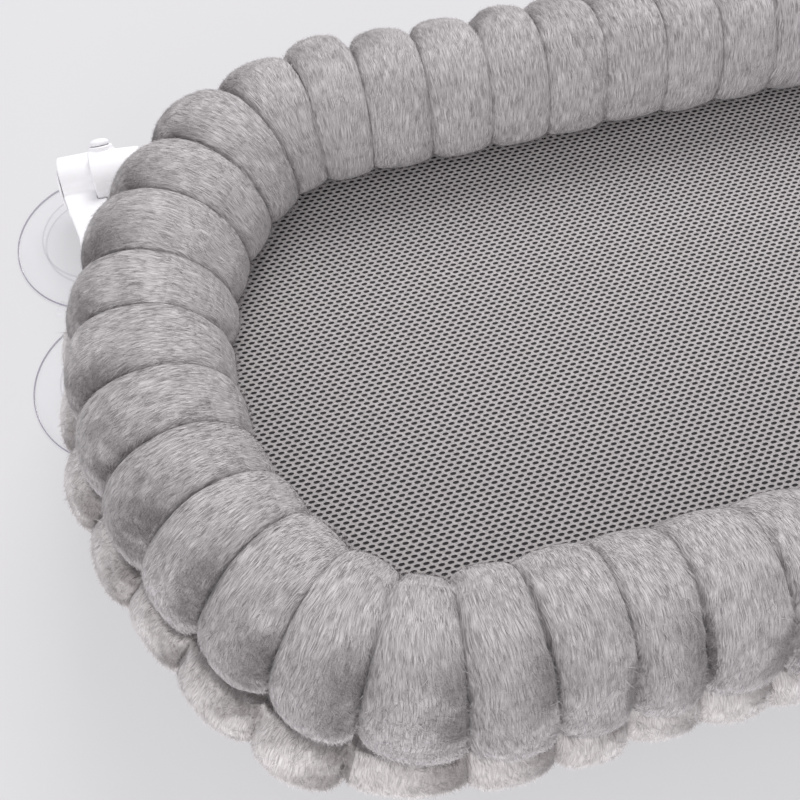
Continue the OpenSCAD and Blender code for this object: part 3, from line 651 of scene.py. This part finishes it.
def roll_piece(name, section, seam, material, hair, ruffled_band, seed, uneven, pile):
    """One roll of the bolster: cloth blown up between its creases, relief of the pile, and hairs."""
    grid, at = roll_grid(section, seed, uneven)
    crease = np.zeros(grid.shape[:2])
    crease[::COARSE_STATIONS] = 1
    crease[seam(grid)] = 1
    grid = inflated(grid, crease)
    grid = refined(refined(grid, FINE, 0), FINE, 1)
    stations, around = grid.shape[:2]
    normals = grid_normals(grid)
    relief = sum(smooth_field((stations, around), spread, seed + 1 + k) * height
                 for k, (spread, height) in enumerate(RELIEF))
    grid = grid + normals * relief[..., None]
    fine_at = np.interp(np.arange(stations + 1) / FINE, np.arange(len(at) + 1), np.append(at, at[0] + LOOP))
    middle = COARSE_STATIONS * FINE // 2
    ring = grid[middle]
    girth = np.concatenate([[0], np.cumsum(np.linalg.norm(np.roll(ring, -1, 0) - ring, axis=-1))])

    def uv_of(i, j):
        return np.stack([np.interp(i, np.arange(stations + 1), fine_at),
                         np.interp(j, np.arange(around + 1), girth)], -1)

    faces = grid_faces(stations, around, looped=True)
    i, j = np.divmod(np.arange(stations * around), around)
    corners = np.stack([uv_of(i, j), uv_of(i, j + 1), uv_of(i + 1, j + 1), uv_of(i + 1, j)], 1)
    obj = mesh_object(name, grid.reshape(-1, 3), faces, corner_uv=corners.reshape(-1, 2))
    obj.data.materials.append(material)
    points, facing, uv, blade = tufts(grid, grid_normals(grid), uv_of, seam(grid), ruffled_band, pile,
                                      seed + 3)
    hairs = mesh_object(name + "_pile", points.reshape(-1, 3), np.arange(3 * len(points)).reshape(-1, 3),
                        uv=uv.reshape(-1, 2))
    layer = hairs.data.uv_layers.new(name="blade")
    layer.data.foreach_set("uv", blade.reshape(-1, 2).astype(np.float32).ravel())
    hairs.data.normals_split_custom_set_from_vertices(facing.reshape(-1, 3).tolist())
    hairs.data.materials.append(hair)
    return obj


def upper_section(angle, line):
    """The upper roll: from its inner flank over the top, rounded in below and flat along the seam."""
    c, s = -np.cos(angle), np.sin(angle)
    nx, ny = np.abs(line[:, 2:3]), line[:, 3:4]
    swollen = BACK_CORNER_OUT * eased(nx, *SWELL_X) * eased(ny, *SWELL_Y)
    out = UPPER_A * c + swollen * eased(c, *OUTER)
    up = np.where(s > 0, UPPER_B * s, UPPER_UNDER * s)
    flat = up < -SEAM_DROP
    up = np.maximum(up, -SEAM_DROP)
    way = (-c, np.where(flat, 0, -s))
    depth = (UPPER_CREASE[0] + UPPER_CREASE[1] * eased(c, *OUTER)) * MM
    return (out, up), way, depth


def low_out(line):
    """How far out the lower roll lies: most at the corners."""
    nx, ny = line[:, 2:3], line[:, 3:4]
    return LOW_END_OUT * nx**2 + LOW_SIDE_OUT * ny**2 + LOW_CORNER_OUT * (2 * nx * ny) ** 4


def lower_section(angle, line):
    """The lower roll, pressed flat where the upper one lies on it and swelling up outside it."""
    c, s = -np.cos(angle), np.sin(angle)
    out = low_out(line) + LOW_R * c
    up = LOW_R * s - LOW_DROP
    under = np.clip((out - LOW_UNDER_IN) / UPPER_A, 0, 1)
    roof = np.maximum(-SEAM_DROP - SEAM_GAP, -UPPER_UNDER * np.sqrt(1 - under**2) - LOW_UNDER_GAP)
    roof = roof + LOW_FREE * eased(out, UPPER_A, UPPER_A + LOW_FREE_RAMP)
    up = np.minimum(up, roof)
    way = (-c * np.ones_like(out), np.where(up >= roof, 0, -s))
    depth = (LOW_CREASE[0] + LOW_CREASE[1] * eased(c, *OUTER)) * MM
    return (out, up), way, depth


def under_upper(grid):
    return grid[..., 2] < ROLL_Z - SEAM_DROP + UPPER_SEAM_NEAR


def under_lower(grid):
    inside = grid[..., 2] > ROLL_Z - SEAM_DROP - LOW_SEAM_UNDER
    return inside & (np.abs(grid[..., 2] - (ROLL_Z - SEAM_DROP - SEAM_GAP)) < LOW_SEAM_NEAR)


# Each roll's seed, how unevenly its puffs are filled, and its hairs: count, length, width and rise
UPPER_SEED, UPPER_UNEVEN, UPPER_PILE = 11, 0.012, (190000, 7.0 * MM, 0.36 * MM, 0.04)
LOW_SEED, LOW_UNEVEN, LOW_PILE = 23, 0.03, (110000, 6.5 * MM, 0.42 * MM, 0.08)
upper = roll_piece("bolster_upper", upper_section, under_upper, fur_upper, hair_upper,
                   RUFFLED_SHADED_UPPER, UPPER_SEED, UPPER_UNEVEN, UPPER_PILE)
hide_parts("upper_roll")
lower = roll_piece("bolster_lower", lower_section, under_lower, fur_lower, hair_lower,
                   RUFFLED_SHADED_LOWER, LOW_SEED, LOW_UNEVEN, LOW_PILE)
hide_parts("lower_roll")


# The sling: a knitted mesh with rows of oval holes, sagging a little under its own weight
CELL_W = 4.5 * MM
CELL_H = 2.4 * MM
SAG = 3 * MM
# A hole's half width and height, as shares of its cell, with the powers that square it off
HOLE_X, HOLE_Y = (0.33, 2.4), (0.30, 2.2)
THREAD_FROM, THREAD_RAMP = 0.55, 1.3
FIBRE_SCALE, FIBRE_NOISE = (900, 2600, 900), (1, 3)
FIBRE_STOPS = ((0.3, srgb(147, 142, 142)), (0.7, srgb(193, 188, 188)))
HOLE_SHADE = srgb(38, 36, 38)
MESH_BUMP = (0.9, 1.2 * MM)
SLING_STATIONS = 264
SLING_RINGS = 24


def mesh_material():
    """Rows of oval holes, every other row moved by half a cell; the holes are painted dark, as painted
    shade for the dim space seen through them.
    """
    m = Nodes("air_mesh").set(Roughness=0.75, Specular_IOR_Level=0.3)
    x, y, _ = m.split(m.coordinates())
    row = m.math("DIVIDE", y, CELL_H)
    odd = m.math("MODULO", m.math("FLOOR", m.plus(row, WELL_ABOVE)), 2)
    column = m.plus(m.math("DIVIDE", x, CELL_W), m.times(odd, 0.5))

    def edge(cells, size, power):
        off_middle = m.math("SUBTRACT", m.math("FRACT", m.plus(cells, WELL_ABOVE)), 0.5)
        return m.math("POWER", m.math("ABSOLUTE", m.math("DIVIDE", off_middle, size)), power)

    oval = m.plus(edge(column, *HOLE_X), edge(row, *HOLE_Y))
    thread = m.math("MULTIPLY", m.math("SUBTRACT", oval, THREAD_FROM), THREAD_RAMP, clamp=True)
    fibre = m.noise(m.coordinates(FIBRE_SCALE), *FIBRE_NOISE)
    m.colour(m.mix(thread, HOLE_SHADE, m.ramp(fibre, FIBRE_STOPS)))
    return m.bump(thread, *MESH_BUMP).material


def rim_line(reach, stations):
    """Points along the centre line, moved inwards by reach."""
    line = centre_line(LOOP * np.arange(stations) / stations)
    return np.stack([line[:, 0] - line[:, 2] * reach, line[:, 1] - line[:, 3] * reach], -1)


def sling_mesh():
    """The sling as one surface, in rings of points from its rim to the bed's middle line."""
    rings, n = SLING_RINGS, SLING_STATIONS
    rim = rim_line(RING_IN + HEM_R, n)
    spine = np.stack([np.clip(rim[:, 0], -HALF_L, HALF_L), np.full(n, BED_Y)], -1)
    points = []
    for k in range(rings + 1):
        f = k / rings
        drop = SAG * (1 - (1 - f) ** 2)
        points.append(np.column_stack([rim * (1 - f) + spine * f, np.full(n, mesh_high[2] - drop)]))
    obj = mesh_object("sling", np.concatenate(points), grid_faces(rings + 1, n))
    obj.data.materials.append(mesh_material())
    return obj


HEM_STATIONS, HEM_AROUND = 528, 18
HEM_SEED = 5
HEM_EASE = 0.05 * MM
PUCKER_SPREAD, PUCKER, PUCKER_MOST = (1.2, 2.0), 0.22 * MM, 0.7 * MM


def hem_tube():
    """The hem: woven cloth drawn round the steel ring, with small puckers along its seam."""
    stations, around = HEM_STATIONS, HEM_AROUND
    s_at = LOOP * np.arange(stations) / stations
    line = centre_line(s_at)[:, None]
    angle = 2 * np.pi * np.arange(around) / around
    pucker = np.abs(smooth_field((stations, around), PUCKER_SPREAD, HEM_SEED)) * PUCKER
    r = HEM_R - HEM_EASE - np.minimum(pucker, PUCKER_MOST)
    out = r * np.cos(angle)[None] - RING_IN
    up = r * np.sin(angle)[None]
    x = line[..., 0] + line[..., 2] * out
    y = line[..., 1] + line[..., 3] * out
    grid = np.stack([x, y, RING_Z + up], -1)
    uv = np.stack(np.broadcast_arrays(s_at[:, None], (HEM_R * angle)[None]), -1).reshape(-1, 2)
    obj = mesh_object("hem_cloth_sleeve", grid.reshape(-1, 3), grid_faces(stations, around, looped=True),
                      uv=uv)
    obj.data.materials.append(hem_cloth)
    return obj


hem = hem_tube()
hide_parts("hem_sleeve")
sling = sling_mesh()
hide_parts("mesh_panel")


# Moulded parts: the CAD's own shapes with their edges rounded as a moulding's are
MOULD_WELD = 0.01 * MM
MOULD_VOXEL = 0.7 * MM
MOULD_ROUNDS = 6
MOULD_SOFTEN = 0.5
MOULD_KEEP = 0.12


def moulded(node, body, material):
    source = bpy.data.objects[node]
    obj = bpy.data.objects.new(node + "_moulded", source.data.copy())
    bpy.context.collection.objects.link(obj)
    obj.modifiers.new("weld", "WELD").merge_threshold = MOULD_WELD
    remesh = obj.modifiers.new("remesh", "REMESH")
    remesh.mode = "VOXEL"
    remesh.voxel_size = MOULD_VOXEL
    soften = obj.modifiers.new("soften", "SMOOTH")
    soften.factor = MOULD_SOFTEN
    soften.iterations = MOULD_ROUNDS
    obj.modifiers.new("thin", "DECIMATE").ratio = MOULD_KEEP
    finished = bpy.data.meshes.new_from_object(obj.evaluated_get(bpy.context.evaluated_depsgraph_get()))
    obj.modifiers.clear()
    obj.data = finished
    finished.name = node + "_moulded"
    finished.materials.clear()
    finished.materials.append(material)
    finished.polygons.foreach_set("use_smooth", np.ones(len(finished.polygons), bool))
    even = obj.modifiers.new("even", "WEIGHTED_NORMAL")
    even.keep_sharp = False
    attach(obj, body)
    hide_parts(node)
    return obj


for side in ("left", "right"):
    moulded(f"arm_{side}", f"arm_{side}", white_moulded)
for kind in ("lock_housing", "riser", "end_cap"):
    for side in ("left", "right"):
        moulded(f"{kind}_{side}", "bed", white_moulded)


# The corners of a quad in the other order, from the same first one
OTHER_WAY_ROUND = [0, 3, 2, 1]


# Turned parts: a profile of [radius, height] swept round an upright axis, or one that tilts to +Y
def turned(name, profile, centre, steps, body, material, extra=None, tilt=0.0):
    profile = np.array(profile, float) * MM
    angle = 2 * np.pi * np.arange(steps) / steps
    r, z = profile[:, 0], profile[:, 1]
    x, y = r[:, None] * np.cos(angle), r[:, None] * np.sin(angle)
    points = np.stack([x, y, np.repeat(z[:, None], steps, 1)], -1).reshape(-1, 3)
    quads = grid_faces(len(profile), steps)[:, OTHER_WAY_ROUND]
    radius = np.repeat(r, steps)
    if extra is not None:
        more, more_quads = extra
        quads = np.concatenate([quads, more_quads + len(points)])
        points = np.concatenate([points, more])
        radius = np.concatenate([radius, np.full(len(more), PLAIN_R)])
    cos, sin = math.cos(tilt), math.sin(tilt)
    upright = points.copy()
    points[:, 1] = upright[:, 1] * cos + upright[:, 2] * sin
    points[:, 2] = upright[:, 2] * cos - upright[:, 1] * sin
    points = points + np.array(centre)
    uv = np.stack([radius, np.zeros(len(points))], -1)
    obj = mesh_object(name, points, quads, body=body, uv=uv)
    obj.data.materials.append(material)
    return obj


# A cup from the stud's seat in its neck, down over the bell to the lip and back under it
CUP_PROFILE = [
    (0.2, 10.1), (4.0, 10.1), (4.1, 10.3), (4.1, 20.2), (4.3, 20.4), (7.9, 20.4), (8.1, 20.6), (8.1, 21.8),
    (8.3, 21.95), (9.2, 21.95), (9.5, 21.6), (9.5, 15.4), (9.8, 14.2), (10.8, 13.4), (13, 12.6),
    (16.1, 11.8),
    (20, 10.6), (23.9, 9.5), (28, 8.3), (31.5, 7.3), (32.4, 7.5), (33.1, 8.0), (33.8, 8.2), (34.5, 8.0),
    (35.2, 7.1), (36, 6.2), (38, 5.4), (42, 4.4), (46, 3.2), (49, 2.3), (50.6, 1.8), (51.5, 1.5),
    (51.9, 1.1), (51.9, 0.4), (51.6, 0.1), (51.1, 0.03), (46.4, 0.03), (45.8, 0.1), (40, 0.75),
    (30, 1.8), (20, 2.9), (10, 4.0), (0.2, 5.0)]
CUP_STEPS = 96
TAB_FROM = 49
TAB_TO = 61
TAB_W = 10
TAB_T = 1.5
TAB_END_STEPS = 9
TAB_ANGLE = math.radians(240)
# The tab's section: height and how far the edge is drawn in, or None for a closed middle
TAB_SECTION = ((0.05, None), (0.05, 0.4), (0.4, 0),
               (TAB_T - 0.4, 0), (TAB_T - 0.05, 0.4), (TAB_T - 0.05, None))
TAB_CLOSED = 0.999


def pull_tab(mirrored):
    """The cup's pull tab: a flat tongue with a round end, its edges eased."""
    half = TAB_W / 2
    end = TAB_TO - half
    turn = np.radians(np.linspace(-90, 90, TAB_END_STEPS))
    rounded = np.stack([end + half * np.cos(turn), half * np.sin(turn)], -1)
    outline = np.concatenate([[[TAB_FROM, -half]], rounded, [[TAB_FROM, half]]])
    centre = outline.mean(0)
    rings = []
    for z, inset in TAB_SECTION:
        way = centre - outline
        length = np.linalg.norm(way, axis=-1, keepdims=True)
        moved = outline + way * (TAB_CLOSED if inset is None else inset / length)
        rings.append(np.column_stack([moved, np.full(len(moved), z)]))
    points = np.concatenate(rings) * MM
    cos, sin = math.cos(TAB_ANGLE), math.sin(TAB_ANGLE)
    x = (points[:, 0] * cos - points[:, 1] * sin) * (-1 if mirrored else 1)
    points = np.column_stack([x, points[:, 0] * sin + points[:, 1] * cos, points[:, 2]])
    quads = grid_faces(len(rings), len(outline))
    return points, quads[:, ::-1] if mirrored else quads


for side in ("left", "right"):
    for place in ("rear", "front"):
        low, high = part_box(f"stud_{side}_{place}")
        axis = ((low[0] + high[0]) / 2, (low[1] + high[1]) / 2, 0)
        bell = turned(f"cup_bell_{side}_{place}", CUP_PROFILE, axis, CUP_STEPS, f"arm_{side}",
                      clear_vinyl, pull_tab(side == "right"))
        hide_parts(f"cup_{side}_{place}")


# The lock buttons: pin, collar and a smooth low dome
BUTTON_PROFILE = [
    (0.05, 8.9), (1.6, 8.9), (2, 9.3), (2, 13.35), (2.3, 13.42), (4.2, 13.42), (4.4, 13.6), (4.4, 14.7),
    (4.2, 14.88), (2.3, 14.88), (2, 15), (2, 22.3), (2.3, 22.42), (5.6, 22.42), (6, 22.7), (6, 23.6),
    (5.8, 24.3), (5.3, 24.9), (4.4, 25.4), (3.2, 25.75), (1.8, 25.95), (0.05, 26)]
BUTTON_TILT = math.radians(40)
BUTTON_STEPS = 40
bar_low, bar_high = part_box("rear_bar")
for side in ("left", "right"):
    low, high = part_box(f"plunger_{side}")
    hinge = ((low[0] + high[0]) / 2, (bar_low[1] + bar_high[1]) / 2, (bar_low[2] + bar_high[2]) / 2)
    button = turned(f"lock_button_{side}", BUTTON_PROFILE, hinge, BUTTON_STEPS, f"plunger_{side}",
                    white_button, tilt=BUTTON_TILT)
    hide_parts(f"plunger_{side}")


# CAD nodes that stay take a finer material
FINISH = {
    "white_plastic": white_moulded,
    "white_button": white_button,
    "steel_tube": steel_coat,
    "zinc_steel": zinc,
}
for part in frame["record"]["subparts"]:
    material = FINISH.get(part["material_slot"])
    obj = bpy.data.objects.get(part["node"])
    if material and obj is not None:
        for place in obj.material_slots:
            place.material = material

# Floor and light
FLOOR = 12.0
floor_mesh = bpy.data.meshes.new("floor")
floor_mesh.from_pydata([(-FLOOR, -FLOOR, 0), (FLOOR, -FLOOR, 0), (FLOOR, FLOOR, 0), (-FLOOR, FLOOR, 0)],
                       [], [(0, 1, 2, 3)])
floor = bpy.data.objects.new("floor", floor_mesh)
bpy.context.collection.objects.link(floor)
# The floor looks pale to the camera and in gloss, and lights the object as a plain pale floor does
FLOOR_LIT = 0.32
FLOOR_GLOW = 0.70
FLOOR_GLOW_COLOUR = (0.985, 0.98, 1.0, 1)
floor_look = Nodes("floor").set(Base_Color=srgb(228, 226, 229), Roughness=0.9, Specular_IOR_Level=0.1)
path = floor_look.node("ShaderNodeLightPath")
glow = floor_look.node("ShaderNodeEmission", Color=FLOOR_GLOW_COLOUR, Strength=FLOOR_GLOW)
pale = floor_look.node("ShaderNodeMixShader")
pale.inputs[0].default_value = FLOOR_LIT
floor_look.link(glow.outputs[0], pale.inputs[1])
floor_look.link(floor_look.shader.outputs[0], pale.inputs[2])
seen = floor_look.math("MAXIMUM", path.outputs["Is Camera Ray"], path.outputs["Is Glossy Ray"])
seen = floor_look.math("MAXIMUM", seen, path.outputs["Is Transmission Ray"])
choose = floor_look.node("ShaderNodeMixShader")
floor_look.link(seen, choose.inputs[0])
floor_look.link(floor_look.shader.outputs[0], choose.inputs[1])
floor_look.link(pale.outputs[0], choose.inputs[2])
floor_look.link(choose.outputs[0], floor_look.tree.nodes["Material Output"].inputs["Surface"])
floor_mesh.materials.append(floor_look.material)

WORLD_COLOUR = (0.98, 0.975, 1.0, 1)
WORLD_STRENGTH = 0.70
world = bpy.data.worlds.new("studio")
bpy.context.scene.world = world
world.use_nodes = True
background = world.node_tree.nodes["Background"]
background.inputs["Color"].default_value = WORLD_COLOUR
background.inputs["Strength"].default_value = WORLD_STRENGTH

# Where the lights point, and each light's place, size in metres and power in watts
LIT_PLACE = (0, 0, 0.05)
LIGHTS = {"key": ((0.7, 1.8, 1.9), (1.4, 1.1), 54), "fill": ((-0.9, -1.9, 0.9), (1.8, 1.2), 22)}


def area_light(name, at, size, power):
    data = bpy.data.lights.new(name, "AREA")
    data.shape = "RECTANGLE"
    data.size, data.size_y = size
    data.energy = power
    obj = bpy.data.objects.new(name, data)
    obj.location = at
    obj.rotation_mode = "QUATERNION"
    obj.rotation_quaternion = (Vector(LIT_PLACE) - Vector(at)).to_track_quat("-Z", "Y")
    bpy.context.collection.objects.link(obj)


for name, (at, size, power) in LIGHTS.items():
    area_light(name, at, size, power)
